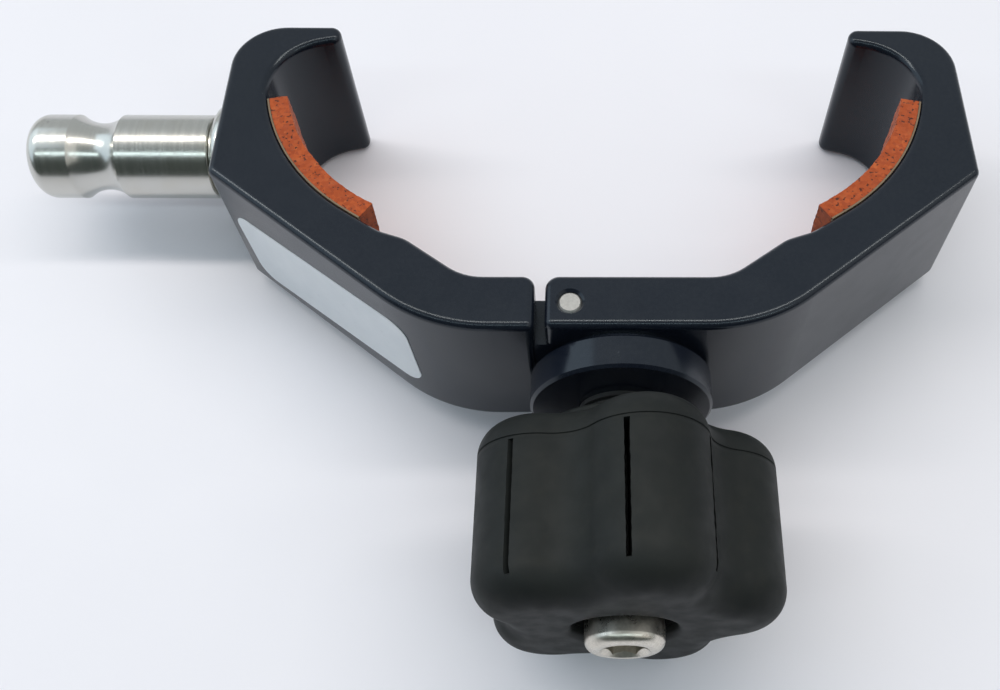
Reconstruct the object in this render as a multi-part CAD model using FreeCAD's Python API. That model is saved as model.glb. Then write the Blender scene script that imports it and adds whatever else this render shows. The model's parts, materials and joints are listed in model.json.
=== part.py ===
import FreeCAD, Part
import math
import os

os.makedirs("parts", exist_ok=True)

# Two-jaw pole clamp, modelled open. Working axes, in mm: X along the bars, Y from the knob
# towards the jaw tips, Z along the gripped pole. x = 0 is the mirror plane of the jaws,
# y = 0 the hinge pin's axis, z = 0 mid height. Every solid is moved to ORIGIN when saved.

Vector = FreeCAD.Vector
X_AXIS = Vector(1, 0, 0)
Y_AXIS = Vector(0, 1, 0)
Z_AXIS = Vector(0, 0, 1)
CENTRE = Vector(0, 0, 0)

# arms
ARM_HEIGHT = 25.4
HALF = ARM_HEIGHT / 2
EDGE_FILLET = 1.0
BAR_FRONT_RIGHT = -3.85
BAR_FRONT_LEFT = -4.1
BAR_REAR = 4.2
OUTER_X = 54.5
JAW_TOP_Y = 49.6
OUTER_R = 7.7
HOOK_R = 9.0
TIP_X = 38.85
TIP_INNER_Y = 46.75
SLOPE = 0.795
SLOPE_POINT = (29.9, 2.07)
RIGHT_END_X = -6.8
LEFT_END_X = -8.2

# jaw lining surface: a large arc between two straight runs
SEAT_TOP = (49.95, 44.25)
SEAT_CORNER = (45.38, 22.16)
SEAT_LOW = (29.6, 11.6)
SEAT_RADIUS = 32.0
SEAT_TAIL = 2.3
PAD_THICK = 2.75
FILM_THICK = 0.25
PAD_HALF_HEIGHT = 12.35

# hinge
HINGE_X = -3.5
PIN_R = 1.5875
PIN_HALF = 12.45
SLOT_HALF = 7.9
TONGUE_HALF = 7.32
TONGUE_REAR = 3.4
TONGUE_FRONT = -3.5
HINGE_BUSH_R = 2.15
LEAD_IN = 0.35

# worm drive between the knob shaft and the tongue
SHAFT_X = 3.4
MODULE = 0.7
WHEEL_TEETH = 12
WHEEL_R = MODULE * WHEEL_TEETH / 2
WHEEL_TIP_R = 4.7
WHEEL_ROOT_R = 3.4
WHEEL_HALF_FACE = 2.2
TOOTH_ANGLES = (-15, 15, 45, 75, 105)
PRESSURE_ANGLE = math.radians(25)
TOOTH_THIN = 0.07
WORM_PITCH = math.pi * MODULE
WORM_R = 2.7
WORM_TIP_R = 3.25
WORM_ROOT_R = 2.0
WORM_FRONT = -3.2
WORM_REAR = 2.2
CHAMBER_R = 3.65

# shaft stack, y positions from back to front
PLUG_INNER = 2.3
PLUG_R = 2.6
TAIL_R = 1.6
NECK_R = 3.0
COLLAR_REAR = -4.9
COLLAR_FRONT = -6.3
COLLAR_R = 5.9
JOURNAL_R = 4.5
JOURNAL_FRONT = -10.3
HEX_FLATS = 7.7
HEX_FRONT = -21.0
SCREW_R = 3.0

# housing
HOUSING_R = 12.5
HOUSING_FRONT = -9.6
HOUSING_RIM_BACK = -4.75
HOUSING_SEAT_R = 11.1
COUNTERBORE_R = 6.2
COUNTERBORE_END = -7.0
BUSH_R = 5.6
HUB_WASHER_R = 5.8
HOUSING_SCREWS = ((SHAFT_X, 9.2), (SHAFT_X, -9.2), (SHAFT_X + 9.2, 0.0))

# knob
KNOB_REAR = -15.3
KNOB_FRONT = -40.0
KNOB_SEAM = -19.7
FRONT_ROUND = 4.6
REAR_ROUND = 4.4
LOBES = 5
LOBE_CENTRE_R = 12.2
LOBE_R = 8.0
LOBE_TURN = 12.0
VALLEY_R = 6.0
SLEEVE_R = 11.4
SLEEVE_REAR = -13.8
HUB_R = 5.7
CORE_R = 9.6
CORE_REAR = -14.1
RECESS_R = 6.6
HEAD_FRONT = -42.5
HEAD_R = 5.0
HEAD_HEIGHT = 6.0
SEAT_Y = -34.0
SLIT_ANGLES = (9.0, 54.0, 90.0, 136.0, 180.0, 225.0, 270.0, 315.0)
SLIT_HALF = 0.3
SLIT_BOTTOM_R = 12.6
SLIT_REAR = -20.1
SLIT_FRONT = -36.8

# stud
STUD_Y = 34.4
STUD_R = 6.35
STUD_BASE_X = -58.45
STUD_GROOVE_NEAR = -72.35
STUD_GROOVE_FAR = -79.4
STUD_GROOVE_R = 5.05
STUD_CHAMFER_X = -83.65
STUD_END_X = -86.25
STUD_NOSE_R = 3.5
STUD_ROOT_R = 4.0
STUD_ROOT_END = -48.8

# label, measured along the left arm's sloping face from SLOPE_POINT
LABEL_SPAN = (-5.3, 29.0)
LABEL_HALF = 7.5
LABEL_Z = -0.8
LABEL_TILT = 4.0
LABEL_CORNER_R = 3.0
LABEL_THICK = 0.1

ORIGIN = Vector(-65.6, STUD_Y, 0)


def save(name, shape):
    """Write one node, moved so that ORIGIN is the frame's zero."""
    moved = shape.copy()
    moved.translate(ORIGIN * -1)
    moved.exportStep("parts/" + name + ".step")
    print(name, "solids", len(moved.Solids), "volume", round(moved.Volume, 2), "valid", moved.isValid())


def unit(vector):
    return vector * (1.0 / vector.Length)


def rounded_wire(corners, z=0.0):
    """Closed wire through corners (x, y, radius), each corner rounded by its radius."""
    points = [Vector(c[0], c[1], z) for c in corners]
    count = len(points)
    arcs = []
    for index in range(count):
        corner = points[index]
        before = unit(points[index - 1] - corner)
        after = unit(points[(index + 1) % count] - corner)
        radius = corners[index][2]
        half_angle = before.getAngle(after) / 2
        if radius <= 0 or half_angle > math.pi / 2 - 1e-4:
            arcs.append((corner, None, corner))
            continue
        reach = radius / math.tan(half_angle)
        middle_dir = unit(before + after)
        centre = corner + middle_dir * (radius / math.sin(half_angle))
        arcs.append((corner + before * reach, centre - middle_dir * radius, corner + after * reach))
    edges = []
    for index in range(count):
        start, middle, end = arcs[index]
        if middle is not None:
            edges.append(Part.Arc(start, middle, end).toShape())
        following = arcs[(index + 1) % count][0]
        if (following - end).Length > 1e-6:
            edges.append(Part.makeLine(end, following))
    return Part.Wire(edges)


def plate(corners, low, high):
    face = Part.Face(rounded_wire(corners, low))
    return face.extrude(Vector(0, 0, high - low))


def fillet_rims(solid, low, high, radius):
    """Round every edge that lies in the plane z = low or z = high."""
    rims = []
    for edge in solid.Edges:
        box = edge.BoundBox
        flat = box.ZLength < 1e-4
        if flat and (abs(box.ZMin - low) < 1e-4 or abs(box.ZMin - high) < 1e-4):
            rims.append(edge)
    return solid.makeFillet(radius, rims)


def rod_y(radius, front, rear, x=SHAFT_X, z=0.0):
    return Part.makeCylinder(radius, rear - front, Vector(x, front, z), Y_AXIS)


def rod_z(radius, low, high, x, y=0.0):
    return Part.makeCylinder(radius, high - low, Vector(x, y, low), Z_AXIS)


def block(x0, x1, y0, y1, z0, z1):
    return Part.makeBox(x1 - x0, y1 - y0, z1 - z0, Vector(x0, y0, z0))


def ring_y(outer, inner, front, rear):
    return rod_y(outer, front, rear).cut(rod_y(inner, front - 1, rear + 1))


def revolve_x(profile, y):
    """Solid of revolution about the line through (0, y, 0) along X; profile is (x, radius)."""
    points = [Vector(px, y + radius, 0) for px, radius in profile]
    points.append(points[0])
    face = Part.Face(Part.makePolygon(points))
    return face.revolve(Vector(0, y, 0), X_AXIS, 360)


def revolve_y(profile, x):
    """Solid of revolution about the line through (x, 0, 0) along Y; profile is (y, radius)."""
    points = [Vector(x + radius, py, 0) for py, radius in profile]
    points.append(points[0])
    face = Part.Face(Part.makePolygon(points))
    return face.revolve(Vector(x, 0, 0), Y_AXIS, 360)


def mirrored(shape):
    return shape.mirror(CENTRE, X_AXIS)


# ---------------------------------------------------------------- arms

def arm_corners(end_x, end_front_r, end_rear_r, bar_front):
    """Outline of an arm on the +X side, from the front of its hinge end round to the rear."""
    slope_x, slope_y = SLOPE_POINT
    bend_x = slope_x + (bar_front - slope_y) / SLOPE
    outer_y = slope_y + SLOPE * (OUTER_X - slope_x)
    return [
        (end_x, bar_front, end_front_r),
        (bend_x, bar_front, 23.0),
        (OUTER_X, outer_y, 1.3),
        (OUTER_X, JAW_TOP_Y, OUTER_R),
        (TIP_X, JAW_TOP_Y, 1.45),
        (TIP_X, TIP_INNER_Y, 1.3),
        (SEAT_TOP[0], SEAT_TOP[1], HOOK_R),
        (SEAT_CORNER[0], SEAT_CORNER[1], SEAT_RADIUS),
        (SEAT_LOW[0], SEAT_LOW[1], 5.0),
        (25.9, 10.3, 5.0),
        (17.7, BAR_REAR, 8.0),
        (end_x, BAR_REAR, end_rear_r),
    ]


def arm_blank(end_x, end_front_r, end_rear_r, bar_front):
    solid = plate(arm_corners(end_x, end_front_r, end_rear_r, bar_front), -HALF, HALF)
    return fillet_rims(solid, -HALF, HALF, EDGE_FILLET)


def seat_edges(depth):
    """The seat curve of the right jaw, moved depth towards the pole: tail line, then arc."""
    corner = Vector(SEAT_CORNER[0], SEAT_CORNER[1], 0)
    up = unit(Vector(SEAT_TOP[0], SEAT_TOP[1], 0) - corner)
    down = unit(Vector(SEAT_LOW[0], SEAT_LOW[1], 0) - corner)
    half_angle = up.getAngle(down) / 2
    reach = SEAT_RADIUS / math.tan(half_angle)
    inward = unit(up + down)
    centre = corner + inward * (SEAT_RADIUS / math.sin(half_angle))
    radius = SEAT_RADIUS - depth
    top_dir = unit(corner + up * reach - centre)
    low_dir = unit(corner + down * reach - centre)
    top = centre + top_dir * radius
    low = centre + low_dir * radius
    middle = centre - inward * radius
    tail = low + down * SEAT_TAIL
    return tail, low, middle, top


def lining(near, far, half_height):
    """A strip that follows the seat between two depths from the metal."""
    tail_a, low_a, middle_a, top_a = seat_edges(near)
    tail_b, low_b, middle_b, top_b = seat_edges(far)
    edges = [
        Part.makeLine(tail_a, low_a),
        Part.Arc(low_a, middle_a, top_a).toShape(),
        Part.makeLine(top_a, top_b),
        Part.Arc(top_b, middle_b, low_b).toShape(),
        Part.makeLine(low_b, tail_b),
        Part.makeLine(tail_b, tail_a),
    ]
    face = Part.Face(Part.Wire(edges))
    solid = face.extrude(Vector(0, 0, 2 * half_height))
    solid.translate(Vector(0, 0, -half_height))
    return solid


def pin_holes(radius):
    """Hinge hole with a small lead-in at both ends."""
    hole = rod_z(radius, -HALF - 1, HALF + 1, HINGE_X)
    for side in (-1, 1):
        mouth = Vector(HINGE_X, 0, side * HALF)
        hole = hole.fuse(Part.makeCone(radius + LEAD_IN, radius, LEAD_IN, mouth, Z_AXIS * -side))
    return hole


def flat_head_screw(x, z):
    """Flat head screw driven from the back of the arm, with a hexagon key socket."""
    head_r = 2.35
    shank_r = 1.23
    rear = BAR_REAR - 0.15
    profile = [(rear, 0), (rear, head_r), (rear - 0.2, head_r)]
    profile.append((rear - 0.2 - (head_r - shank_r), shank_r))
    profile.append((-7.3, shank_r))
    profile.append((-7.5, shank_r - 0.3))
    profile.append((-7.5, 0))
    screw = revolve_y(profile, x)
    screw.translate(Vector(0, 0, z))
    socket = hex_bar_y(1.5, rear - 1.1, rear + 1, x, z)
    return screw.cut(socket)


def hex_bar_y(flats, front, rear, x=SHAFT_X, z=0.0):
    corner_r = flats / math.sqrt(3)
    points = []
    for index in range(7):
        angle = math.radians(60 * index)
        points.append(Vector(x + corner_r * math.cos(angle), front, z + corner_r * math.sin(angle)))
    face = Part.Face(Part.makePolygon(points))
    return face.extrude(Vector(0, rear - front, 0))


def make_right_arm():
    arm = arm_blank(RIGHT_END_X, 1.1, 1.9, BAR_FRONT_RIGHT)
    slot = block(-9, HINGE_X + 4.1, -6, 6, -SLOT_HALF, SLOT_HALF)
    slot = slot.fuse(rod_z(5.0, -SLOT_HALF, SLOT_HALF, HINGE_X))
    arm = arm.cut(slot)
    arm = arm.cut(rod_y(CHAMBER_R, -6, PLUG_INNER))
    arm = arm.cut(rod_y(PLUG_R + 0.01, PLUG_INNER, 6))
    arm = arm.cut(pin_holes(PIN_R + 0.005))
    for x, z in HOUSING_SCREWS:
        arm = arm.cut(rod_y(1.3, -6, 6, x, z))
        sink = Part.makeCone(1.3, 2.55, 1.25, Vector(x, BAR_REAR - 1.4, z), Y_AXIS)
        arm = arm.cut(sink.fuse(rod_y(2.55, BAR_REAR - 0.15, 6, x, z)))
    return arm


def tooth(angle):
    """One wheel tooth: an involute prism laid over along the worm's thread."""
    base_r = WHEEL_R * math.cos(PRESSURE_ANGLE)
    half_pitch = math.pi / (2 * WHEEL_TEETH) - TOOTH_THIN / WHEEL_R
    start = half_pitch + math.tan(PRESSURE_ANGLE) - PRESSURE_ANGLE
    flank = []
    for step in range(7):
        radius = base_r + (WHEEL_TIP_R - base_r) * step / 6
        roll = math.acos(base_r / radius)
        flank.append((radius, start - (math.tan(roll) - roll)))
    outline = [(WHEEL_ROOT_R - 0.4, start)] + flank
    left = [Vector(r * math.cos(a), r * math.sin(a), 0) for r, a in outline]
    right = [Vector(r * math.cos(a), -r * math.sin(a), 0) for r, a in reversed(outline)]
    points = right + left
    points.append(points[0])
    lead = MODULE / (2 * WORM_R)
    face = Part.Face(Part.makePolygon(points))
    width = 2 * WHEEL_HALF_FACE
    solid = face.extrude(Vector(0, lead * width, width))
    solid.translate(Vector(0, -lead * WHEEL_HALF_FACE, -WHEEL_HALF_FACE))
    solid.rotate(CENTRE, Z_AXIS, angle)
    solid.translate(Vector(HINGE_X, 0, 0))
    return solid


def make_left_arm():
    blank = mirrored(arm_blank(-LEFT_END_X, 1.1, 1.7, BAR_FRONT_LEFT))
    tongue = block(LEFT_END_X - 1.5, HINGE_X, TONGUE_FRONT, TONGUE_REAR, -TONGUE_HALF, TONGUE_HALF)
    tongue = tongue.fuse(rod_z(WHEEL_ROOT_R, -TONGUE_HALF, TONGUE_HALF, HINGE_X))
    arm = blank.fuse(tongue)
    for angle in TOOTH_ANGLES:
        arm = arm.fuse(tooth(angle))
    arm = arm.cut(rod_z(HINGE_BUSH_R + 0.01, -8, 8, HINGE_X))
    stud_hole = Part.makeCylinder(STUD_ROOT_R + 0.01, 10, Vector(-58.5, STUD_Y, 0), X_AXIS)
    arm = arm.cut(stud_hole)
    return arm.removeSplitter()


def make_hinge_pin():
    pin = rod_z(PIN_R, -PIN_HALF, PIN_HALF, HINGE_X)
    rims = [edge for edge in pin.Edges if edge.BoundBox.ZLength < 1e-4]
    return pin.makeChamfer(0.25, rims)


def make_hinge_bush():
    outer = rod_z(HINGE_BUSH_R, -TONGUE_HALF, TONGUE_HALF, HINGE_X)
    return outer.cut(rod_z(PIN_R + 0.03, -8, 8, HINGE_X))


def make_hinge_washers():
    washers = []
    for low in (TONGUE_HALF + 0.04, -SLOT_HALF + 0.03):
        ring = rod_z(2.9, low, low + 0.5, HINGE_X)
        washers.append(ring.cut(rod_z(PIN_R + 0.05, -9, 9, HINGE_X)))
    return Part.makeCompound(washers)


# ---------------------------------------------------------------- stud

def make_stud():
    """Turned stud: domed nose, rounded locking groove with crisp edges, body, root in the arm."""
    nose = [(STUD_END_X, 0), (STUD_END_X, STUD_NOSE_R)]
    for step in range(1, 9):
        share = step / 8
        x = STUD_END_X + (STUD_CHAMFER_X - STUD_END_X) * (1 - math.cos(share * math.pi / 2))
        radius = STUD_NOSE_R + (STUD_R - STUD_NOSE_R) * math.sin(share * math.pi / 2)
        nose.append((x, radius))
    profile = nose + [(STUD_GROOVE_FAR, STUD_R)]
    half_width = (STUD_GROOVE_NEAR - STUD_GROOVE_FAR) / 2
    depth = STUD_R - STUD_GROOVE_R
    arc_r = (half_width ** 2 + depth ** 2) / (2 * depth)
    for step in range(1, 14):
        along = half_width * (step / 7 - 1)
        radius = STUD_GROOVE_R + arc_r - math.sqrt(arc_r ** 2 - along ** 2)
        profile.append((STUD_GROOVE_FAR + half_width + along, radius))
    profile += [
        (STUD_GROOVE_NEAR, STUD_R),
        (STUD_BASE_X - 0.35, STUD_R),
        (STUD_BASE_X, STUD_R - 0.35),
        (STUD_BASE_X, STUD_ROOT_R),
        (STUD_ROOT_END - 0.5, STUD_ROOT_R),
        (STUD_ROOT_END, STUD_ROOT_R - 0.5),
        (STUD_ROOT_END, 0),
    ]
    return revolve_x(profile, STUD_Y)


def make_stud_collar():
    """Shoulder ring between stud and arm, waisted next to the stud."""
    near = STUD_BASE_X + 0.02
    far = -OUTER_X - 0.02
    inner = STUD_ROOT_R + 0.02
    profile = [(near, inner), (near, STUD_R - 0.5), (near + 0.5, STUD_R - 0.5)]
    for step in range(0, 7):
        angle = math.pi / 2 * step / 6
        x = near + 0.5 + 1.6 * (1 - math.cos(angle))
        profile.append((x, STUD_R + 1.85 * math.sin(angle)))
    profile += [(far, STUD_R + 1.85), (far, inner)]
    return revolve_x(profile, STUD_Y)


# ---------------------------------------------------------------- shaft and housing

def make_worm():
    """Right-hand worm thread along Y with a crest at y = 0 on the side facing the wheel."""
    turns_low = -2.5
    turns = 5
    helix = Part.makeHelix(WORM_PITCH, WORM_PITCH * turns, WORM_R)
    helix.translate(Vector(0, 0, WORM_PITCH * turns_low))
    slope = math.tan(PRESSURE_ANGLE)
    mid_half = WORM_PITCH / 4 - TOOTH_THIN
    tip_half = mid_half - (WORM_TIP_R - WORM_R) * slope
    inner_r = WORM_ROOT_R - 0.15
    root_half = mid_half + (WORM_R - inner_r) * slope
    start_z = WORM_PITCH * turns_low
    section = [
        Vector(inner_r, 0, start_z - root_half),
        Vector(WORM_TIP_R, 0, start_z - tip_half),
        Vector(WORM_TIP_R, 0, start_z + tip_half),
        Vector(inner_r, 0, start_z + root_half),
    ]
    section.append(section[0])
    wire = Part.makePolygon(section)
    thread = Part.Wire(helix).makePipeShell([wire], True, True)
    thread.rotate(CENTRE, X_AXIS, -90)
    thread.translate(Vector(SHAFT_X, 0, 0))
    band = rod_y(WORM_TIP_R + 0.3, WORM_FRONT, WORM_REAR)
    return thread.common(band)


def make_worm_shaft():
    shaft = rod_y(TAIL_R, WORM_REAR, BAR_REAR - 0.2)
    shaft = shaft.fuse(rod_y(WORM_ROOT_R, WORM_FRONT, WORM_REAR))
    shaft = shaft.fuse(make_worm())
    shaft = shaft.fuse(rod_y(NECK_R, COLLAR_REAR, WORM_FRONT))
    shaft = shaft.fuse(rod_y(COLLAR_R, COLLAR_FRONT, COLLAR_REAR))
    shaft = shaft.fuse(rod_y(JOURNAL_R, JOURNAL_FRONT, COLLAR_FRONT))
    shaft = shaft.fuse(hex_bar_y(HEX_FLATS, HEX_FRONT, JOURNAL_FRONT))
    return shaft.cut(rod_y(SCREW_R + 0.02, HEX_FRONT - 1, -10.8))


def make_end_plug():
    plug = rod_y(PLUG_R, PLUG_INNER + 0.05, BAR_REAR - 0.05)
    return plug.cut(rod_y(TAIL_R + 0.03, 0, 6))


def make_shaft_housing():
    housing = rod_y(HOUSING_SEAT_R, HOUSING_FRONT, BAR_FRONT_RIGHT - 0.01)
    rim = rod_y(HOUSING_R, HOUSING_FRONT, HOUSING_RIM_BACK)
    rims = rim_edges(rim, HOUSING_FRONT) + rim_edges(rim, HOUSING_RIM_BACK)
    rim = rim.makeChamfer(0.4, rims)
    housing = housing.fuse(rim)
    housing = housing.cut(rod_y(COUNTERBORE_R, COUNTERBORE_END, 0))
    housing = housing.cut(rod_y(BUSH_R + 0.01, HOUSING_FRONT - 1, 0))
    pocket = block(HINGE_X - 2.9, HINGE_X + 2.9, -4.92, -3, -3.2, 3.2)
    housing = housing.cut(pocket)
    for x, z in HOUSING_SCREWS:
        housing = housing.cut(rod_y(1.25, -7.8, 0, x, z))
    return housing.removeSplitter()


def make_shaft_bush():
    return ring_y(BUSH_R, JOURNAL_R + 0.03, HOUSING_FRONT, COUNTERBORE_END)


def make_collar_washers():
    rear = ring_y(4.0, NECK_R + 0.08, -4.85, BAR_FRONT_RIGHT - 0.03)
    front = ring_y(6.05, JOURNAL_R + 0.08, COUNTERBORE_END + 0.03, COLLAR_FRONT - 0.05)
    return Part.makeCompound([rear, front])


def make_hub_washer():
    return ring_y(HUB_WASHER_R, JOURNAL_R + 0.08, HOUSING_FRONT - 0.65, HOUSING_FRONT - 0.02)


def make_housing_screws():
    return Part.makeCompound([flat_head_screw(x, z) for x, z in HOUSING_SCREWS])


# ---------------------------------------------------------------- knob

def lobed_wire(inset, y):
    """Closed knob outline: convex lobes joined by concave valleys, all arcs tangent."""
    step = 2 * math.pi / LOBES
    lobe_r = LOBE_R - inset
    valley_r = VALLEY_R + inset
    half = step / 2
    chord_x = LOBE_CENTRE_R * math.cos(half)
    chord_y = LOBE_CENTRE_R * math.sin(half)
    valley_centre_r = chord_x + math.sqrt((LOBE_R + VALLEY_R) ** 2 - chord_y ** 2)
    turn = math.radians(90 - LOBE_TURN)

    def place(radius, angle):
        return Vector(SHAFT_X + radius * math.cos(angle), y, radius * math.sin(angle))

    edges = []
    for index in range(LOBES):
        angle = turn + step * index
        lobe = place(LOBE_CENTRE_R, angle)
        before = place(valley_centre_r, angle - half)
        after = place(valley_centre_r, angle + half)
        start = lobe + unit(before - lobe) * lobe_r
        end = lobe + unit(after - lobe) * lobe_r
        crest = lobe + unit(lobe - place(0, 0)) * lobe_r
        edges.append(Part.Arc(start, crest, end).toShape())
        next_lobe = place(LOBE_CENTRE_R, angle + step)
        valley_mid = after - unit(after - place(0, 0)) * valley_r
        valley_end = after + unit(next_lobe - after) * valley_r
        edges.append(Part.Arc(end, valley_mid, valley_end).toShape())
    return Part.Wire(edges)


def lobed_prism(inset, front, rear):
    face = Part.Face(lobed_wire(inset, front))
    return face.extrude(Vector(0, rear - front, 0))


def rim_edges(solid, y):
    chosen = []
    for edge in solid.Edges:
        box = edge.BoundBox
        if box.YLength < 1e-4 and abs(box.YMin - y) < 1e-4:
            chosen.append(edge)
    return chosen


def make_knob_grip():
    """Rubber grip: rounded lobed body with a round sleeve behind, open for the core."""
    body = lobed_prism(0.0, KNOB_FRONT, KNOB_REAR)
    body = body.makeFillet(FRONT_ROUND, rim_edges(body, KNOB_FRONT))
    body = body.makeFillet(REAR_ROUND, rim_edges(body, KNOB_REAR))
    sleeve = rod_y(SLEEVE_R, KNOB_REAR - REAR_ROUND, SLEEVE_REAR)
    sleeve = sleeve.makeFillet(0.6, rim_edges(sleeve, SLEEVE_REAR))
    body = body.fuse(sleeve)
    seam = lobed_prism(-1.0, KNOB_SEAM - 0.15, KNOB_SEAM + 0.15)
    seam = seam.cut(lobed_prism(0.45, KNOB_SEAM - 1, KNOB_SEAM + 1))
    body = body.cut(seam)
    for angle in SLIT_ANGLES:
        slit = block(-SLIT_HALF, SLIT_HALF, SLIT_FRONT, SLIT_REAR, SLIT_BOTTOM_R, 30)
        slit.rotate(CENTRE, Y_AXIS, 90.0 - angle)
        slit.translate(Vector(SHAFT_X, 0, 0))
        body = body.cut(slit)
    body = body.cut(rod_y(CORE_R, KNOB_FRONT + 1.6, 0))
    return body.cut(rod_y(RECESS_R, KNOB_FRONT - 1, KNOB_FRONT + 3))


def make_knob_core():
    """Hard insert: neck behind the knob, body inside the rubber, seat for the screw."""
    core = rod_y(HUB_R, CORE_REAR - 0.1, JOURNAL_FRONT)
    core = core.makeChamfer(0.4, rim_edges(core, JOURNAL_FRONT))
    core = core.fuse(rod_y(CORE_R - 0.01, KNOB_FRONT + 1.62, CORE_REAR))
    core = core.cut(hex_bar_y(HEX_FLATS + 0.04, HEX_FRONT - 0.3, 0))
    core = core.cut(rod_y(SCREW_R + 0.2, KNOB_FRONT, 0))
    core = core.cut(rod_y(RECESS_R, KNOB_FRONT - 1, SEAT_Y))
    return core.removeSplitter()


def make_knob_screw():
    under = HEAD_FRONT + HEAD_HEIGHT
    head = rod_y(HEAD_R, HEAD_FRONT, under)
    head = head.makeFillet(1.3, rim_edges(head, HEAD_FRONT))
    shank = rod_y(SCREW_R, under - 0.01, -11.1)
    screw = head.fuse(shank)
    socket = hex_bar_y(5.0, HEAD_FRONT - 1, HEAD_FRONT + 3.2)
    mouth = Part.makeCone(3.15, 2.5, 0.65, Vector(SHAFT_X, HEAD_FRONT - 0.01, 0), Y_AXIS)
    drill = Part.makeCone(2.45, 0.3, 1.2, Vector(SHAFT_X, HEAD_FRONT + 3.2, 0), Y_AXIS)
    screw = screw.cut(socket).cut(mouth)
    return screw.cut(drill)


def make_knob_washer():
    return ring_y(6.0, 3.3, SEAT_Y - 1.0, SEAT_Y - 0.02)


def make_lock_washer():
    """Split spring washer, its ends a hair apart."""
    ring = ring_y(5.0, 3.15, HEAD_FRONT + HEAD_HEIGHT + 0.02, SEAT_Y - 1.02)
    gap = block(SHAFT_X - 0.4, SHAFT_X + 0.4, -40, -30, 0, 8)
    return ring.cut(gap)


# ---------------------------------------------------------------- label

def make_label():
    """Thin blank sticker that follows the left arm's sloping front face and its bend."""
    corners = arm_corners(-LEFT_END_X, 1.1, 1.7, BAR_FRONT_LEFT)
    outer = Part.Face(rounded_wire(corners, -HALF))
    grown = Part.Face(outer.OuterWire.makeOffset2D(LABEL_THICK))
    skin = grown.extrude(Vector(0, 0, ARM_HEIGHT)).cut(outer.extrude(Vector(0, 0, ARM_HEIGHT)))
    low, high = LABEL_SPAN
    outline = [(low, -LABEL_HALF), (high, -LABEL_HALF), (high, LABEL_HALF), (low, LABEL_HALF)]
    stamp = plate([(x, y, LABEL_CORNER_R) for x, y in outline], -6, 6)
    stamp.rotate(CENTRE, Z_AXIS, -LABEL_TILT)
    stamp.rotate(CENTRE, X_AXIS, 90)
    stamp.rotate(CENTRE, Z_AXIS, math.degrees(math.atan(SLOPE)))
    stamp.translate(Vector(SLOPE_POINT[0], SLOPE_POINT[1], LABEL_Z))
    return mirrored(skin.common(stamp))


def main():
    right_pad = lining(FILM_THICK + 0.01, FILM_THICK + PAD_THICK, PAD_HALF_HEIGHT)
    right_film = lining(0.005, FILM_THICK, PAD_HALF_HEIGHT)
    save("right_arm", make_right_arm())
    save("left_arm", make_left_arm())
    save("hinge_pin", make_hinge_pin())
    save("hinge_bush", make_hinge_bush())
    save("hinge_washers", make_hinge_washers())
    save("quick_release_stud", make_stud())
    save("stud_collar", make_stud_collar())
    save("right_pad", right_pad)
    save("left_pad", mirrored(right_pad))
    save("right_pad_film", right_film)
    save("left_pad_film", mirrored(right_film))
    save("worm_shaft", make_worm_shaft())
    save("end_plug", make_end_plug())
    save("shaft_housing", make_shaft_housing())
    save("shaft_bush", make_shaft_bush())
    save("collar_washers", make_collar_washers())
    save("hub_washer", make_hub_washer())
    save("housing_screws", make_housing_screws())
    save("knob_grip", make_knob_grip())
    save("knob_core", make_knob_core())
    save("knob_screw", make_knob_screw())
    save("knob_washer", make_knob_washer())
    save("lock_washer", make_lock_washer())
    save("label", make_label())


main()
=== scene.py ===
import json
import math

import bmesh
import bpy
from mathutils import Euler, Matrix, Vector, noise


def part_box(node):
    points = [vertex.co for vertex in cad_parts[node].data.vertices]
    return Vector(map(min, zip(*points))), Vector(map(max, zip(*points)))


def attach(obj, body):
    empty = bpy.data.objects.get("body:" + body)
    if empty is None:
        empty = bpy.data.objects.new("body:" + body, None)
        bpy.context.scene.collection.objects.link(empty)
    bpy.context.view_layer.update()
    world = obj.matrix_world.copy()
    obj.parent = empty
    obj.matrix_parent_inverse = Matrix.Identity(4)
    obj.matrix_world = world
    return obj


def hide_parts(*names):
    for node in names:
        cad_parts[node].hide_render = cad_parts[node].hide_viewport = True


# noise_vector draws its offsets from this seed; left unset, they change with the clock.
noise.seed_set(7)

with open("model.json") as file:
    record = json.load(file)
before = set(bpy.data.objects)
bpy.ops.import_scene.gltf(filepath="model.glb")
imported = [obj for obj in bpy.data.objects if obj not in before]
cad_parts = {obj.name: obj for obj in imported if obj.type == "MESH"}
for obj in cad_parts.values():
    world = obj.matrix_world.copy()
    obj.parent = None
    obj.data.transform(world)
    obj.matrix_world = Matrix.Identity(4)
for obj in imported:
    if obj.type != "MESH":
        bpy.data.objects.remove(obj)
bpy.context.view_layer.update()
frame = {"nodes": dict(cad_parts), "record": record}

MM = 0.001

# Clamp layout in the row frame, in millimetres: X along the stud, Y towards the jaw tips, Z along
# the gripped pole. JAW_MIRROR_X is the plane that the two jaws mirror in.
JAW_MIRROR_X = 65.6
SHAFT_X = 69.0
STUD_Y_OFFSET = 34.4
ARM_HALF = 12.7


def at(x, y, z):
    """A point given from the hinge's middle, in the row frame in metres."""
    return Vector(((x + JAW_MIRROR_X) * MM, (y - STUD_Y_OFFSET) * MM, z * MM))


# ------------------------------------------------------------------ node helpers

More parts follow.
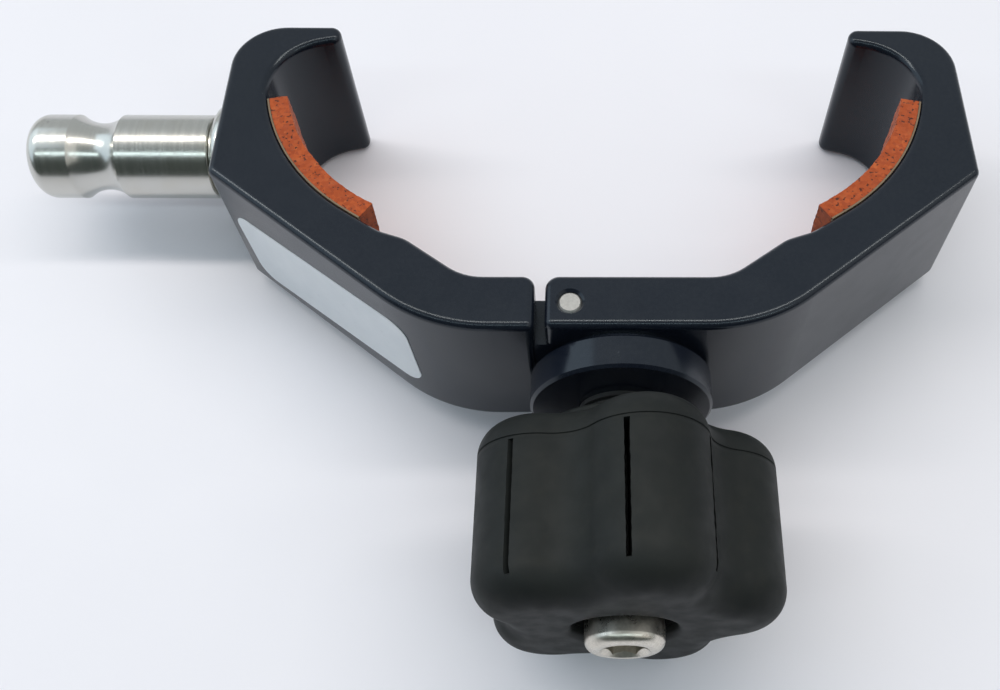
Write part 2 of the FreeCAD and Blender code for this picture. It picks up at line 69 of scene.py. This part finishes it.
class Nodes:
    """A material's node tree with short calls for the nodes that the finishes share."""

    def __init__(self, name):
        self.material = bpy.data.materials.new(name)
        self.material.use_nodes = True
        self.tree = self.material.node_tree
        self.shader = self.tree.nodes["Principled BSDF"]
        self.place = self.tree.nodes.new("ShaderNodeTexCoord").outputs["Object"]

    def add(self, kind):
        return self.tree.nodes.new(kind)

    def link(self, source, target):
        self.tree.links.new(source, target)

    def set(self, **values):
        for key, value in values.items():
            self.shader.inputs[key.replace("_", " ")].default_value = value

    def scaled(self, scale):
        mapping = self.add("ShaderNodeMapping")
        mapping.inputs["Scale"].default_value = scale
        self.link(self.place, mapping.inputs["Vector"])
        return mapping.outputs["Vector"]

    def noise(self, scale, detail=3.0, rough=0.5, vector=None):
        node = self.add("ShaderNodeTexNoise")
        node.inputs["Scale"].default_value = scale
        node.inputs["Detail"].default_value = detail
        node.inputs["Roughness"].default_value = rough
        self.link(vector if vector is not None else self.place, node.inputs["Vector"])
        return node.outputs["Fac"]

    def cells(self, scale):
        """Voronoi cells: the distance from each cell's middle, and its random colour."""
        node = self.add("ShaderNodeTexVoronoi")
        node.inputs["Scale"].default_value = scale
        self.link(self.place, node.inputs["Vector"])
        return node.outputs["Distance"], node.outputs["Color"]

    def dots(self, scale, low, high):
        """Round spots in the middle of each cell, 1 inside and 0 outside."""
        return self.ramp(self.cells(scale)[0], low, high, 1.0, 0.0)

    def ramp(self, value, low, high, first=0.0, last=1.0):
        node = self.add("ShaderNodeMapRange")
        node.interpolation_type = "SMOOTHSTEP"
        node.inputs["From Min"].default_value = low
        node.inputs["From Max"].default_value = high
        node.inputs["To Min"].default_value = first
        node.inputs["To Max"].default_value = last
        self.link(value, node.inputs["Value"])
        return node.outputs["Result"]

    def math(self, operation, first, second):
        node = self.add("ShaderNodeMath")
        node.operation = operation
        for socket, value in zip(node.inputs, (first, second)):
            if isinstance(value, (int, float)):
                socket.default_value = value
            else:
                self.link(value, socket)
        return node.outputs["Value"]

    def mix(self, share, first, second):
        """Colour between first and second, each a colour or a socket."""
        node = self.add("ShaderNodeMix")
        node.data_type = "RGBA"
        self.link(share, node.inputs["Factor"])
        colours = [s for s in node.inputs if s.type == "RGBA"]
        for socket, value in zip(colours, (first, second)):
            if isinstance(value, tuple):
                socket.default_value = (*value, 1.0)
            else:
                self.link(value, socket)
        return [s for s in node.outputs if s.type == "RGBA"][0]

    def axis(self, name):
        node = self.add("ShaderNodeSeparateXYZ")
        self.link(self.place, node.inputs["Vector"])
        return node.outputs[name]

    def colour(self, socket):
        self.link(socket, self.shader.inputs["Base Color"])

    def roughness(self, socket):
        self.link(socket, self.shader.inputs["Roughness"])

    def bump(self, *layers):
        """Chains bump nodes; each layer is (height, distance in millimetres, strength)."""
        normal = None
        for height, distance, strength in layers:
            node = self.add("ShaderNodeBump")
            node.inputs["Distance"].default_value = distance * MM
            node.inputs["Strength"].default_value = strength
            self.link(height, node.inputs["Height"])
            if normal is not None:
                self.link(normal, node.inputs["Normal"])
            normal = node.outputs["Normal"]
        self.link(normal, self.shader.inputs["Normal"])


# ------------------------------------------------------------------ materials

def anodised(name):
    """Satin black anodised aluminium with a blue cast, fine blasted grain and worn specks."""
    n = Nodes(name)
    n.set(IOR=1.5, Specular_IOR_Level=0.42, Specular_Tint=(0.85, 0.94, 1.0, 1.0))
    tone = n.ramp(n.noise(45, 4), 0.3, 0.7)
    body = n.mix(tone, (0.0045, 0.0068, 0.0130), (0.0070, 0.0095, 0.0165))
    fine = n.ramp(n.noise(1800, 2), 0.35, 0.65)
    body = n.mix(n.math("MULTIPLY", fine, 0.25), body, (0.014, 0.017, 0.024))
    height = n.math("ABSOLUTE", n.axis("Z"), 0.0)
    rim = n.ramp(height, (ARM_HALF - 0.65) * MM, (ARM_HALF - 0.1) * MM)
    below_top = n.ramp(height, (ARM_HALF - 0.08) * MM, (ARM_HALF - 0.01) * MM, 1.0, 0.0)
    rim = n.math("MULTIPLY", rim, below_top)
    chips = n.ramp(n.noise(620, 3, 0.7), 0.68, 0.76)
    wear = n.math("MULTIPLY", rim, chips)
    dust = n.dots(170, 0.045, 0.075)
    few = n.ramp(n.noise(90, 2), 0.64, 0.70)
    dust = n.math("MULTIPLY", dust, few)
    body = n.mix(n.math("MULTIPLY", dust, 0.2), body, (0.30, 0.31, 0.34))
    n.colour(n.mix(n.math("MULTIPLY", wear, 0.12), body, (0.30, 0.31, 0.34)))
    n.roughness(n.ramp(n.noise(260, 3), 0.3, 0.7, 0.18, 0.23))
    n.bump((n.noise(3200, 2), 0.003, 0.2), (n.noise(700, 2), 0.003, 0.15))
    return n.material


def turned_steel(name):
    """Turned stainless steel: fine rings round the X axis, faint stains and nicks."""
    n = Nodes(name)
    n.set(Metallic=1.0)
    colour = (0.60, 0.595, 0.56)
    stained = tuple(c * f for c, f in zip(colour, (0.86, 0.82, 0.74)))
    rings = n.scaled((1.0, 0.012, 0.012))
    lines = n.noise(3600, 3, 0.6, rings)
    broad = n.noise(700, 2, 0.5, rings)
    stain = n.ramp(n.noise(130, 4, 0.6), 0.42, 0.68)
    base = n.mix(n.ramp(lines, 0.3, 0.7), tuple(c * 0.95 for c in colour), colour)
    base = n.mix(n.math("MULTIPLY", stain, 0.3), base, stained)
    pits = n.math("MULTIPLY", n.dots(520, 0.05, 0.1), n.ramp(n.noise(160, 2), 0.6, 0.66))
    n.colour(n.mix(n.math("MULTIPLY", pits, 0.6), base, (0.16, 0.15, 0.13)))
    n.roughness(n.ramp(lines, 0.3, 0.7, 0.20, 0.27))
    n.bump((lines, 0.0010, 0.2), (broad, 0.0014, 0.15))
    return n.material


def ground_steel(name, colour=(0.55, 0.55, 0.54), rough=0.34):
    """Ground or blackened steel with an even fine grain."""
    n = Nodes(name)
    n.set(Metallic=1.0)
    grain = n.noise(2600, 3)
    n.colour(n.mix(n.ramp(grain, 0.3, 0.7), tuple(c * 0.85 for c in colour), colour))
    n.roughness(n.ramp(n.noise(400, 3), 0.3, 0.7, rough - 0.05, rough + 0.08))
    n.bump((grain, 0.003, 0.3))
    return n.material


def bronze(name):
    """Sintered bronze: warm, dull, with open pores."""
    n = Nodes(name)
    n.set(Metallic=1.0)
    pores = n.ramp(n.cells(2300)[0], 0.1, 0.35)
    base = n.mix(n.noise(300, 3), (0.42, 0.26, 0.11), (0.58, 0.38, 0.17))
    n.colour(n.mix(pores, (0.16, 0.10, 0.05), base))
    n.roughness(n.ramp(n.noise(700, 2), 0.3, 0.7, 0.38, 0.52))
    n.bump((pores, 0.01, 0.5))
    return n.material


def cork_rubber(name):
    """Orange-red cork and rubber sheet: granules, dark flecks and open pores."""
    n = Nodes(name)
    n.set(IOR=1.45, Specular_IOR_Level=0.25, Sheen_Weight=0.12, Sheen_Roughness=0.6)
    granule, granule_colour = n.cells(1900)
    pick = n.add("ShaderNodeSeparateColor")
    n.link(granule_colour, pick.inputs["Color"])
    base = n.mix(pick.outputs["Red"], (0.33, 0.054, 0.010), (0.46, 0.086, 0.017))
    pale = n.ramp(pick.outputs["Green"], 0.90, 0.95)
    base = n.mix(n.math("MULTIPLY", pale, 0.3), base, (0.55, 0.15, 0.04))
    broad = n.ramp(n.noise(240, 3), 0.35, 0.7)
    base = n.mix(n.math("MULTIPLY", broad, 0.35), base, (0.27, 0.040, 0.009))
    flecks = n.ramp(n.noise(1700, 2, 0.55), 0.60, 0.66)
    base = n.mix(n.math("MULTIPLY", flecks, 0.9), base, (0.05, 0.012, 0.006))
    n.colour(base)
    n.roughness(n.ramp(n.noise(900, 2), 0.3, 0.7, 0.72, 0.9))
    pores = n.ramp(n.noise(1700, 2, 0.55), 0.60, 0.66, 1.0, 0.0)
    n.bump((pores, 0.10, 0.5), (granule, 0.04, 0.3), (n.noise(500, 3), 0.06, 0.35))
    return n.material


def film(name):
    """Cream adhesive film under the pads."""
    n = Nodes(name)
    n.set(IOR=1.46)
    n.colour(n.mix(n.noise(500, 3), (0.13, 0.085, 0.05), (0.25, 0.18, 0.11)))
    n.roughness(n.ramp(n.noise(900, 2), 0.3, 0.7, 0.45, 0.65))
    n.bump((n.noise(1500, 2), 0.01, 0.3))
    return n.material


def sticker(name):
    """Satin white label stock, blank, with faint scuffs."""
    n = Nodes(name)
    n.set(IOR=1.48, Coat_Weight=0.15, Coat_Roughness=0.3)
    base = n.mix(n.ramp(n.noise(60, 4), 0.3, 0.7), (0.70, 0.735, 0.77), (0.78, 0.81, 0.835))
    scuffs = n.ramp(n.noise(420, 4, 0.7), 0.62, 0.78)
    n.colour(n.mix(n.math("MULTIPLY", scuffs, 0.35), base, (0.42, 0.44, 0.46)))
    n.roughness(n.ramp(n.noise(500, 3), 0.3, 0.7, 0.38, 0.5))
    n.bump((n.noise(900, 3), 0.008, 0.4))
    return n.material


def soft_rubber(name):
    """Matte moulded rubber: dry charcoal with a warm bloom, fine tooth and lint."""
    n = Nodes(name)
    n.set(IOR=1.5, Specular_IOR_Level=0.16)
    tone = n.ramp(n.noise(70, 4, 0.6), 0.3, 0.7)
    base = n.mix(tone, (0.0115, 0.0135, 0.0136), (0.0160, 0.0180, 0.0172))
    bloom = n.ramp(n.noise(420, 4, 0.65), 0.45, 0.75)
    base = n.mix(n.math("MULTIPLY", bloom, 0.4), base, (0.0215, 0.0225, 0.0195))
    lint = n.math("MULTIPLY", n.dots(210, 0.03, 0.05), n.ramp(n.noise(80, 2), 0.62, 0.67))
    n.colour(n.mix(n.math("MULTIPLY", lint, 0.25), base, (0.25, 0.25, 0.23)))
    n.roughness(n.ramp(n.noise(350, 3), 0.3, 0.7, 0.50, 0.62))
    n.bump((n.noise(2400, 2), 0.008, 0.35), (n.noise(260, 3), 0.014, 0.3))
    return n.material


def hard_plastic(name, low=(0.013, 0.0135, 0.0135), high=(0.021, 0.0215, 0.021), rough=0.42):
    """Moulded glass-filled plastic with a faint flow grain."""
    n = Nodes(name)
    n.set(IOR=1.5)
    n.colour(n.mix(n.ramp(n.noise(300, 4), 0.3, 0.7), low, high))
    n.roughness(n.ramp(n.noise(500, 3), 0.3, 0.7, rough - 0.05, rough + 0.08))
    n.bump((n.noise(1600, 2), 0.008, 0.35))
    return n.material


def table_top(name):
    """Pale table: satin laminate with a fine pebbled texture."""
    n = Nodes(name)
    n.set(IOR=1.45, Specular_IOR_Level=0.35)
    n.colour(n.mix(n.ramp(n.noise(14, 3), 0.3, 0.7), (0.845, 0.83, 0.885), (0.865, 0.85, 0.905)))
    n.roughness(n.ramp(n.noise(60, 2), 0.3, 0.7, 0.42, 0.52))
    n.bump((n.noise(900, 2), 0.03, 0.35))
    return n.material


MATERIALS = {
    "anodised_black": anodised("finish_anodised"),
    "stainless": turned_steel("finish_stainless"),
    "pin_steel": ground_steel("finish_ground_steel"),
    "black_screw": ground_steel("finish_black_oxide", (0.045, 0.045, 0.05), 0.38),
    "bronze": bronze("finish_bronze"),
    "cork_rubber": cork_rubber("finish_cork_rubber"),
    "film": film("finish_film"),
    "label_white": sticker("finish_label"),
    "grip_rubber": soft_rubber("finish_grip_rubber"),
    "core_plastic": hard_plastic("finish_core_plastic"),
    "nylon": hard_plastic("finish_nylon", (0.03, 0.03, 0.03), (0.04, 0.04, 0.04), 0.5),
}
SCREW_STEEL = ground_steel("finish_screw_steel", (0.72, 0.68, 0.60), 0.30)
PIN_END_STEEL = ground_steel("finish_pin_steel", (0.46, 0.455, 0.44), 0.5)


def paint(obj, material):
    obj.data.materials.clear()
    obj.data.materials.append(material)


def paint_cad_nodes():
    slots = {part["node"]: part["material_slot"] for part in frame["record"]["subparts"]}
    for name, node in frame["nodes"].items():
        for slot in node.material_slots:
            slot.material = MATERIALS[slots[name]]
    for name, material in (("knob_screw", SCREW_STEEL), ("hinge_pin", PIN_END_STEEL)):
        for slot in frame["nodes"][name].material_slots:
            slot.material = material


# ------------------------------------------------------------------ mesh helpers

LATHE_STEPS = 160


def mesh_object(name, vertices, faces, material, sharp_degrees=None):
    mesh = bpy.data.meshes.new(name)
    mesh.from_pydata([tuple(v) for v in vertices], [], faces)
    mesh.validate()
    mesh.update()
    obj = bpy.data.objects.new(name, mesh)
    bpy.context.scene.collection.objects.link(obj)
    paint(obj, material)
    mesh.shade_smooth()
    if sharp_degrees is not None:
        mesh.set_sharp_from_angle(angle=math.radians(sharp_degrees))
    return obj


def finish_piece(obj, body, slot, *nodes):
    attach(obj, body)
    if nodes:
        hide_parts(*nodes)
    return obj


def arc_points(centre, radius, start, end, steps):
    """Points on an arc in a lathe profile, (along, out), angles in degrees from the along axis."""
    points = []
    for step in range(steps + 1):
        angle = math.radians(start + (end - start) * step / steps)
        points.append((centre[0] + radius * math.cos(angle), centre[1] + radius * math.sin(angle)))
    return points


def lathe_x(name, profile, material, closed=False, sharp=35):
    """Surface of revolution along X in row millimetres; profile is a list of (x, radius)."""
    vertices = []
    rings = []
    for x, radius in profile:
        if radius < 1e-6:
            rings.append([len(vertices)])
            vertices.append((x * MM, 0.0, 0.0))
            continue
        ring = []
        for index in range(LATHE_STEPS):
            angle = 2 * math.pi * index / LATHE_STEPS
            ring.append(len(vertices))
            vertices.append((x * MM, radius * math.cos(angle) * MM, radius * math.sin(angle) * MM))
        rings.append(ring)
    pairs = list(zip(rings, rings[1:]))
    if closed:
        pairs.append((rings[-1], rings[0]))
    faces = []
    for first, second in pairs:
        for index in range(LATHE_STEPS):
            following = (index + 1) % LATHE_STEPS
            if len(first) == 1:
                faces.append((first[0], second[following], second[index]))
            elif len(second) == 1:
                faces.append((first[index], first[following], second[0]))
            else:
                faces.append((first[index], first[following], second[following], second[index]))
    return mesh_object(name, vertices, faces, material, sharp)


# ------------------------------------------------------------------ stud

def make_stud():
    """Turned stud: domed nose, crisp land, rounded groove with crisp edges, plain body."""
    low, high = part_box("quick_release_stud")
    nose = low.x / MM
    root = high.x / MM
    radius = high.z / MM
    shoulder = 7.15
    land_end = -13.8
    groove_end = -6.75
    groove_radius = 5.05
    tip_radius = 3.5
    dome = 2.6
    edge = 0.05
    corner = 0.35
    root_radius = 4.0
    profile = [(nose, 0.0), (nose, tip_radius * 0.6), (nose, tip_radius - 0.2)]
    for step in range(1, 15):
        turn = step / 14 * math.pi / 2
        x = nose + dome * (1 - math.cos(turn))
        profile.append((x, tip_radius + (radius - tip_radius) * math.sin(turn)))
    profile += [(land_end - 0.06, radius), (land_end, radius - edge)]
    half_width = (groove_end - land_end) / 2
    depth = radius - edge - groove_radius
    arc_radius = (half_width ** 2 + depth ** 2) / (2 * depth)
    for step in range(1, 40):
        along = half_width * (step / 20 - 1)
        out = groove_radius + arc_radius - math.sqrt(arc_radius ** 2 - along ** 2)
        profile.append((land_end + half_width + along, out))
    profile += [(groove_end, radius - edge), (groove_end + 0.06, radius)]
    profile += [(-3.0, radius), (2.0, radius), (shoulder - 0.4, radius)]
    profile += arc_points((shoulder - corner, radius - corner), corner, 90, 0, 6)
    profile += [(shoulder, root_radius), (root, root_radius), (root, 0.0)]
    stud = lathe_x("stud_body", profile, MATERIALS["stainless"], sharp=14)
    return finish_piece(stud, "stud_arm", "stainless", "quick_release_stud")


def make_collar():
    """Shoulder ring: a narrow waist by the stud, then a flared flange against the arm."""
    low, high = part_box("stud_collar")
    near = low.x / MM
    far = high.x / MM
    flange = high.z / MM
    inner = 4.02
    waist = flange - 2.35
    sweep_x = near + 2.1
    profile = [(near, inner), (near, waist - 0.1), (near + 0.1, waist), (near + 0.5, waist)]
    for along, out in arc_points((0.0, 0.0), 1.0, 180, 90, 12):
        profile.append((sweep_x + along * 1.6, waist + out * (flange - waist - 0.25)))
    profile += arc_points((far - 0.75, flange - 0.25), 0.25, 90, 45, 3)
    profile += [(far - 0.4, flange), (far - 0.12, flange), (far, flange - 0.12), (far, inner)]
    collar = lathe_x("stud_shoulder", profile, MATERIALS["stainless"], closed=True, sharp=38)
    return finish_piece(collar, "stud_arm", "stainless", "stud_collar")


# ------------------------------------------------------------------ knob

LOBES = 5
LOBE_CENTRE_R = 12.2
LOBE_R = 8.0
LOBE_TURN = 12.0
VALLEY_R = 6.0
FRONT_ROUND = 4.6
REAR_ROUND = 4.4
SLEEVE_R = 11.4
CORE_R = 9.6
RECESS_R = 6.6
RECESS_DEPTH = 1.58
LIP_ROUND = 0.9
SLIT_ANGLES = (9.0, 54.0, 90.0, 136.0, 180.0, 225.0, 270.0, 315.0)
SLIT_HALF = 0.3
SLIT_BOTTOM_R = 12.8
SLIT_ROWS = 48
SEAM_BACK = 4.4
SLIT_BACK = 0.4
SLIT_REACH = 17.1
GRIP_STEPS = 400


def lobed_radius(angle, inset):
    """Distance from the axis to the knob's outline, pulled in by inset, at an angle in radians."""
    step = 2 * math.pi / LOBES
    turn = math.radians(90 - LOBE_TURN)
    off = (angle - turn + step / 2) % step - step / 2
    lobe = LOBE_R - inset
    valley = VALLEY_R + inset
    half = step / 2
    chord = LOBE_CENTRE_R * math.sin(half)
    valley_centre = LOBE_CENTRE_R * math.cos(half) + math.sqrt((LOBE_R + VALLEY_R) ** 2 - chord ** 2)
    across = Vector((valley_centre * math.cos(half) - LOBE_CENTRE_R, valley_centre * math.sin(half)))
    across.normalize()
    touch = math.atan2(across.y * lobe, LOBE_CENTRE_R + across.x * lobe)
    if abs(off) <= touch:
        side = LOBE_CENTRE_R * math.sin(off)
        return LOBE_CENTRE_R * math.cos(off) + math.sqrt(lobe ** 2 - side ** 2)
    rest = half - abs(off)
    side = valley_centre * math.sin(rest)
    return valley_centre * math.cos(rest) - math.sqrt(valley ** 2 - side ** 2)


def knob_columns():
    """Columns round the knob as (angle, slit middle, share of the slit's half width)."""
    slits = [math.radians(angle) for angle in SLIT_ANGLES]
    columns = []
    for middle in slits:
        reach = lobed_radius(middle, 0.0)
        for share in (-1.6, -1.12, -1.0, 0.0, 1.0, 1.12, 1.6):
            columns.append((middle + math.asin(SLIT_HALF * share / reach), middle, share))
    walls = [angle for angle, middle, share in columns]
    for index in range(GRIP_STEPS):
        angle = math.radians(360 * index / GRIP_STEPS)
        gap = min(abs((angle - wall + math.pi) % (2 * math.pi) - math.pi) for wall in walls)
        if gap > math.radians(0.35):
            columns.append((angle, None, 0.0))
    return sorted((angle % (2 * math.pi), middle, share) for angle, middle, share in columns)


def rear_inset(turn):
    """Inset of the rear rounding after turn radians of its quarter circle."""
    return REAR_ROUND * (1 - math.sin(turn))


def front_inset(y, front):
    """Inset of the front rounding at y."""
    drop = max(0.0, front + FRONT_ROUND - y) / FRONT_ROUND
    return FRONT_ROUND * (1 - math.sqrt(1 - min(1.0, drop) ** 2))


def knob_rows(front, body_rear):
    """Rows of the grip from back to front: (y, inset of the outline, least radius, slit share)."""
    seam = body_rear - SEAM_BACK
    slit_rear = seam - SLIT_BACK
    slit_front = seam - SLIT_REACH
    rows = []
    for step in range(20):
        turn = math.radians(90 * step / 19)
        y = body_rear - REAR_ROUND * (1 - math.cos(turn))
        if y > seam + 0.2:
            rows.append((y, rear_inset(turn), SLEEVE_R, 0.0))
    rest = rows[-1][1]
    for offset, cut in ((0.14, 0.0), (0.06, 0.16), (-0.06, 0.16), (-0.14, 0.0)):
        turn = math.acos(max(0.0, 1 - (body_rear - seam - offset) / REAR_ROUND))
        rows.append((seam + offset, min(rest, rear_inset(turn)) + cut, 0.0, 0.0))
    rows.append((slit_rear + 0.05, 0.02, 0.0, 0.0))
    for step in range(SLIT_ROWS + 1):
        share = step / SLIT_ROWS
        y = slit_rear + (slit_front - slit_rear) * share
        rows.append((y, front_inset(y, front), 0.0, min(1.0, (1 - share) * 7.0)))
    for step in range(1, 15):
        turn = math.radians(90 * step / 14)
        y = front + (slit_front - front) * (1 - math.sin(turn))
        rows.append((y, front_inset(y, front), 0.0, 0.0))
    return rows


def make_grip():
    """Rubber grip as one quad skin, from its round sleeve at the back to the recess in front."""
    low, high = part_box("knob_grip")
    front = low.y / MM
    sleeve_rear = high.y / MM
    body_rear = sleeve_rear - 1.5
    columns = knob_columns()
    vertices = []

    def point(radius, angle, y):
        vertices.append(Vector((SHAFT_X + radius * math.cos(angle), y, radius * math.sin(angle))) * MM)

    def ring(radius, y):
        for angle, middle, share in columns:
            point(radius, angle, y)

    ring(CORE_R + 0.03, sleeve_rear - 0.5)
    ring(CORE_R + 0.15, sleeve_rear)
    for out, back in reversed(arc_points((0.0, 0.0), 0.6, 0, 90, 6)):
        ring(SLEEVE_R - 0.6 + out, sleeve_rear - 0.6 + back)
    ring(SLEEVE_R, body_rear + 0.5)
    ring(SLEEVE_R + 0.15, body_rear + 0.1)
    for y, inset, least, slit in knob_rows(front, body_rear):
        for angle, middle, share in columns:
            reach = max(lobed_radius(angle, inset), least)
            turn = angle
            if slit > 0 and middle is not None:
                wander = 1 + 0.22 * noise.noise(Vector((middle * 9.0, y * 1.6, 0.4)))
                turn = middle + math.asin(SLIT_HALF * share * wander / reach)
                if abs(share) <= 1.0:
                    reach -= (reach - SLIT_BOTTOM_R) * slit
            point(reach, turn, y)
    for share in (0.35, 0.7, 1.0):
        for angle, middle, tag in columns:
            outer = lobed_radius(angle, FRONT_ROUND)
            point(outer + (RECESS_R + LIP_ROUND - outer) * share, angle, front)
    for out, back in arc_points((0.0, 0.0), LIP_ROUND, 270, 180, 6)[1:]:
        ring(RECESS_R + LIP_ROUND + out, front + LIP_ROUND + back)
    ring(RECESS_R, front + RECESS_DEPTH)
    ring(CORE_R, front + RECESS_DEPTH)
    count = len(columns)
    faces = []
    for row in range(len(vertices) // count - 1):
        for column in range(count):
            following = (column + 1) % count
            a = row * count + column
            b = row * count + following
            faces.append((a, b, b + count, a + count))
    grip = mesh_object("rubber_grip", vertices, faces, MATERIALS["grip_rubber"], 48)
    return finish_piece(grip, "knob", "grip_rubber", "knob_grip")


# ------------------------------------------------------------------ jaw pads

PAD_THICK = 2.75
PAD_LIFT = 0.27
PAD_HALF_HEIGHT = 12.3
SEAT_RADIUS = 32.0
SEAT_CENTRE = (16.66, 41.45)
SEAT_TOP_ANGLE = math.radians(-11.64)
SEAT_LOW_ANGLE = math.radians(-56.21)
SEAT_TAIL = 2.3


def seat_line(side, depth, share):
    """Point of the seat curve in mm from the hinge, depth away from the metal; share runs 0 to 1."""
    radius = SEAT_RADIUS - depth
    sweep = (SEAT_TOP_ANGLE - SEAT_LOW_ANGLE) * SEAT_RADIUS
    along = share * (sweep + SEAT_TAIL)
    angle = max(SEAT_TOP_ANGLE - along / SEAT_RADIUS, SEAT_LOW_ANGLE)
    rest = max(0.0, along - sweep)
    x = SEAT_CENTRE[0] + radius * math.cos(angle) + rest * math.sin(angle)
    y = SEAT_CENTRE[1] + radius * math.sin(angle) - rest * math.cos(angle)
    return side * x, y


def make_pad(side, body, node):
    """Cork and rubber strip: a closed block with a rough skin, its cut edges slightly ragged."""
    length_cells = 110
    height_cells = 90
    depth_cells = 12

    def point(u, v, w):
        depth = PAD_LIFT + PAD_THICK * w
        x, y = seat_line(side, depth, u)
        z = PAD_HALF_HEIGHT * (2 * v - 1)
        where = at(x, y, z) / MM
        rough = noise.noise_vector(where * 1.9) * 0.055 + noise.noise_vector(where * 0.45) * 0.10
        keep = 0.25 if w < 0.05 else 1.0
        edge_u = min(u, 1 - u) * length_cells
        edge_v = min(v, 1 - v) * height_cells
        if w > 0.98 and min(edge_u, edge_v) < 1.5:
            x, y = seat_line(side, depth - 0.12, u)
        return at(x, y, z) + rough * keep * MM

    index_of = {}
    vertices = []

    def vertex(i, j, k):
        key = (i, j, k)
        if key not in index_of:
            index_of[key] = len(vertices)
            vertices.append(point(i / length_cells, j / height_cells, k / depth_cells))
        return index_of[key]

    faces = []

    def sheet(count_a, count_b, corner):
        for a in range(count_a):
            for b in range(count_b):
                faces.append((corner(a, b), corner(a + 1, b), corner(a + 1, b + 1), corner(a, b + 1)))

    for k in (0, depth_cells):
        sheet(length_cells, height_cells, lambda a, b, k=k: vertex(a, b, k))
    for j in (0, height_cells):
        sheet(length_cells, depth_cells, lambda a, b, j=j: vertex(a, j, b))
    for i in (0, length_cells):
        sheet(height_cells, depth_cells, lambda a, b, i=i: vertex(i, a, b))
    pad = mesh_object(node + "_cork", vertices, faces, MATERIALS["cork_rubber"], 50)
    make_normals_outward(pad)
    return finish_piece(pad, body, "cork_rubber", node)


def make_normals_outward(obj):
    mesh = bmesh.new()
    mesh.from_mesh(obj.data)
    bmesh.ops.recalc_face_normals(mesh, faces=mesh.faces)
    mesh.to_mesh(obj.data)
    mesh.free()


# ------------------------------------------------------------------ stage

FLOOR_TILT = math.radians(5.4)
FLOOR_REACH = 3.0


def make_floor():
    """Pale table that the clamp rests on, tilted because the knob stands lower than the jaws."""
    contact = at(0, 49.3, -12.73)
    along = Vector((0.0, math.cos(FLOOR_TILT), math.sin(FLOOR_TILT)))
    corners = []
    for x, y in ((-1, -1), (1, -1), (1, 1), (-1, 1)):
        corners.append(contact + (Vector((x, 0.0, 0.0)) + along * y) * FLOOR_REACH)
    floor = mesh_object("table", corners, [(0, 1, 2, 3)], table_top("finish_table"))


def area_light(name, centre, target, power, colour, length, width):
    """Rectangular lamp facing target, its length level and along X."""
    data = bpy.data.lights.new(name, "AREA")
    data.shape = "RECTANGLE"
    data.size = length
    data.size_y = width
    data.energy = power
    data.color = colour
    lamp = bpy.data.objects.new(name, data)
    bpy.context.scene.collection.objects.link(lamp)
    away = (centre - target).normalized()
    along = Vector((1.0, 0.0, 0.0))
    along = (along - away * along.dot(away)).normalized()
    axes = Matrix((along, away.cross(along), away)).transposed()
    lamp.location = centre
    lamp.rotation_euler = axes.to_euler()


# Each lamp: name, place from the clamp's middle in metres, watts, colour, length and width.
LAMPS = (
    ("tube_behind", (-0.1, 0.245, 1.1), 9.4, (1.0, 0.955, 0.90), 2.4, 0.10),
    ("tube_in_front", (0.0, -0.66, 1.1), 3.6, (0.80, 0.96, 1.0), 2.4, 0.08),
    ("window", (-1.2, 0.2, 0.7), 5.2, (0.68, 0.85, 1.0), 1.4, 1.4),
    ("fill", (1.1, -0.5, 1.0), 3.0, (1.0, 0.96, 0.92), 1.5, 1.5),
)


def make_lights():
    """Two long ceiling tubes, behind the clamp and in front of it, a blue window and a warm fill."""
    middle = at(0, 10, 0)
    for name, place, power, colour, length, width in LAMPS:
        area_light(name, middle + Vector(place), middle, power, colour, length, width)


def make_world():
    """Room light: pale above and behind, dark on the side where the viewer stands."""
    world = bpy.data.worlds.new("room")
    bpy.context.scene.world = world
    world.use_nodes = True
    tree = world.node_tree
    background = tree.nodes["Background"]
    place = tree.nodes.new("ShaderNodeTexCoord")
    split = tree.nodes.new("ShaderNodeSeparateXYZ")
    tree.links.new(place.outputs["Generated"], split.inputs["Vector"])
    span = tree.nodes.new("ShaderNodeMapRange")
    span.interpolation_type = "SMOOTHSTEP"
    span.inputs["From Min"].default_value = -0.75
    span.inputs["From Max"].default_value = 0.35
    tree.links.new(split.outputs["Y"], span.inputs["Value"])
    blend = tree.nodes.new("ShaderNodeMix")
    blend.data_type = "RGBA"
    colours = [s for s in blend.inputs if s.type == "RGBA"]
    colours[0].default_value = (0.07, 0.085, 0.08, 1.0)
    colours[1].default_value = (0.61, 0.65, 0.67, 1.0)
    tree.links.new(span.outputs["Result"], blend.inputs["Factor"])
    tree.links.new([s for s in blend.outputs if s.type == "RGBA"][0], background.inputs["Color"])
    background.inputs["Strength"].default_value = 0.88


def make_camera():
    """Hand-held view from above the knob, looking down into the open jaws."""
    data = bpy.data.cameras.new("camera")
    data.lens = 37.5
    data.sensor_width = 36.0
    data.shift_x = -0.112
    data.shift_y = 0.026
    data.clip_start = 0.01
    camera = bpy.data.objects.new("camera", data)
    bpy.context.scene.collection.objects.link(camera)
    camera.location = at(-0.6, -72.75, 128.1)
    camera.rotation_euler = Euler((math.radians(28.38), math.radians(-0.95), math.radians(-0.54)))
    bpy.context.scene.camera = camera


paint_cad_nodes()
make_stud()
make_collar()
make_grip()
make_pad(1, "knob_arm", "right_pad")
make_pad(-1, "stud_arm", "left_pad")
make_floor()
make_lights()
make_world()
make_camera()
bpy.context.scene.view_settings.view_transform = "Standard"
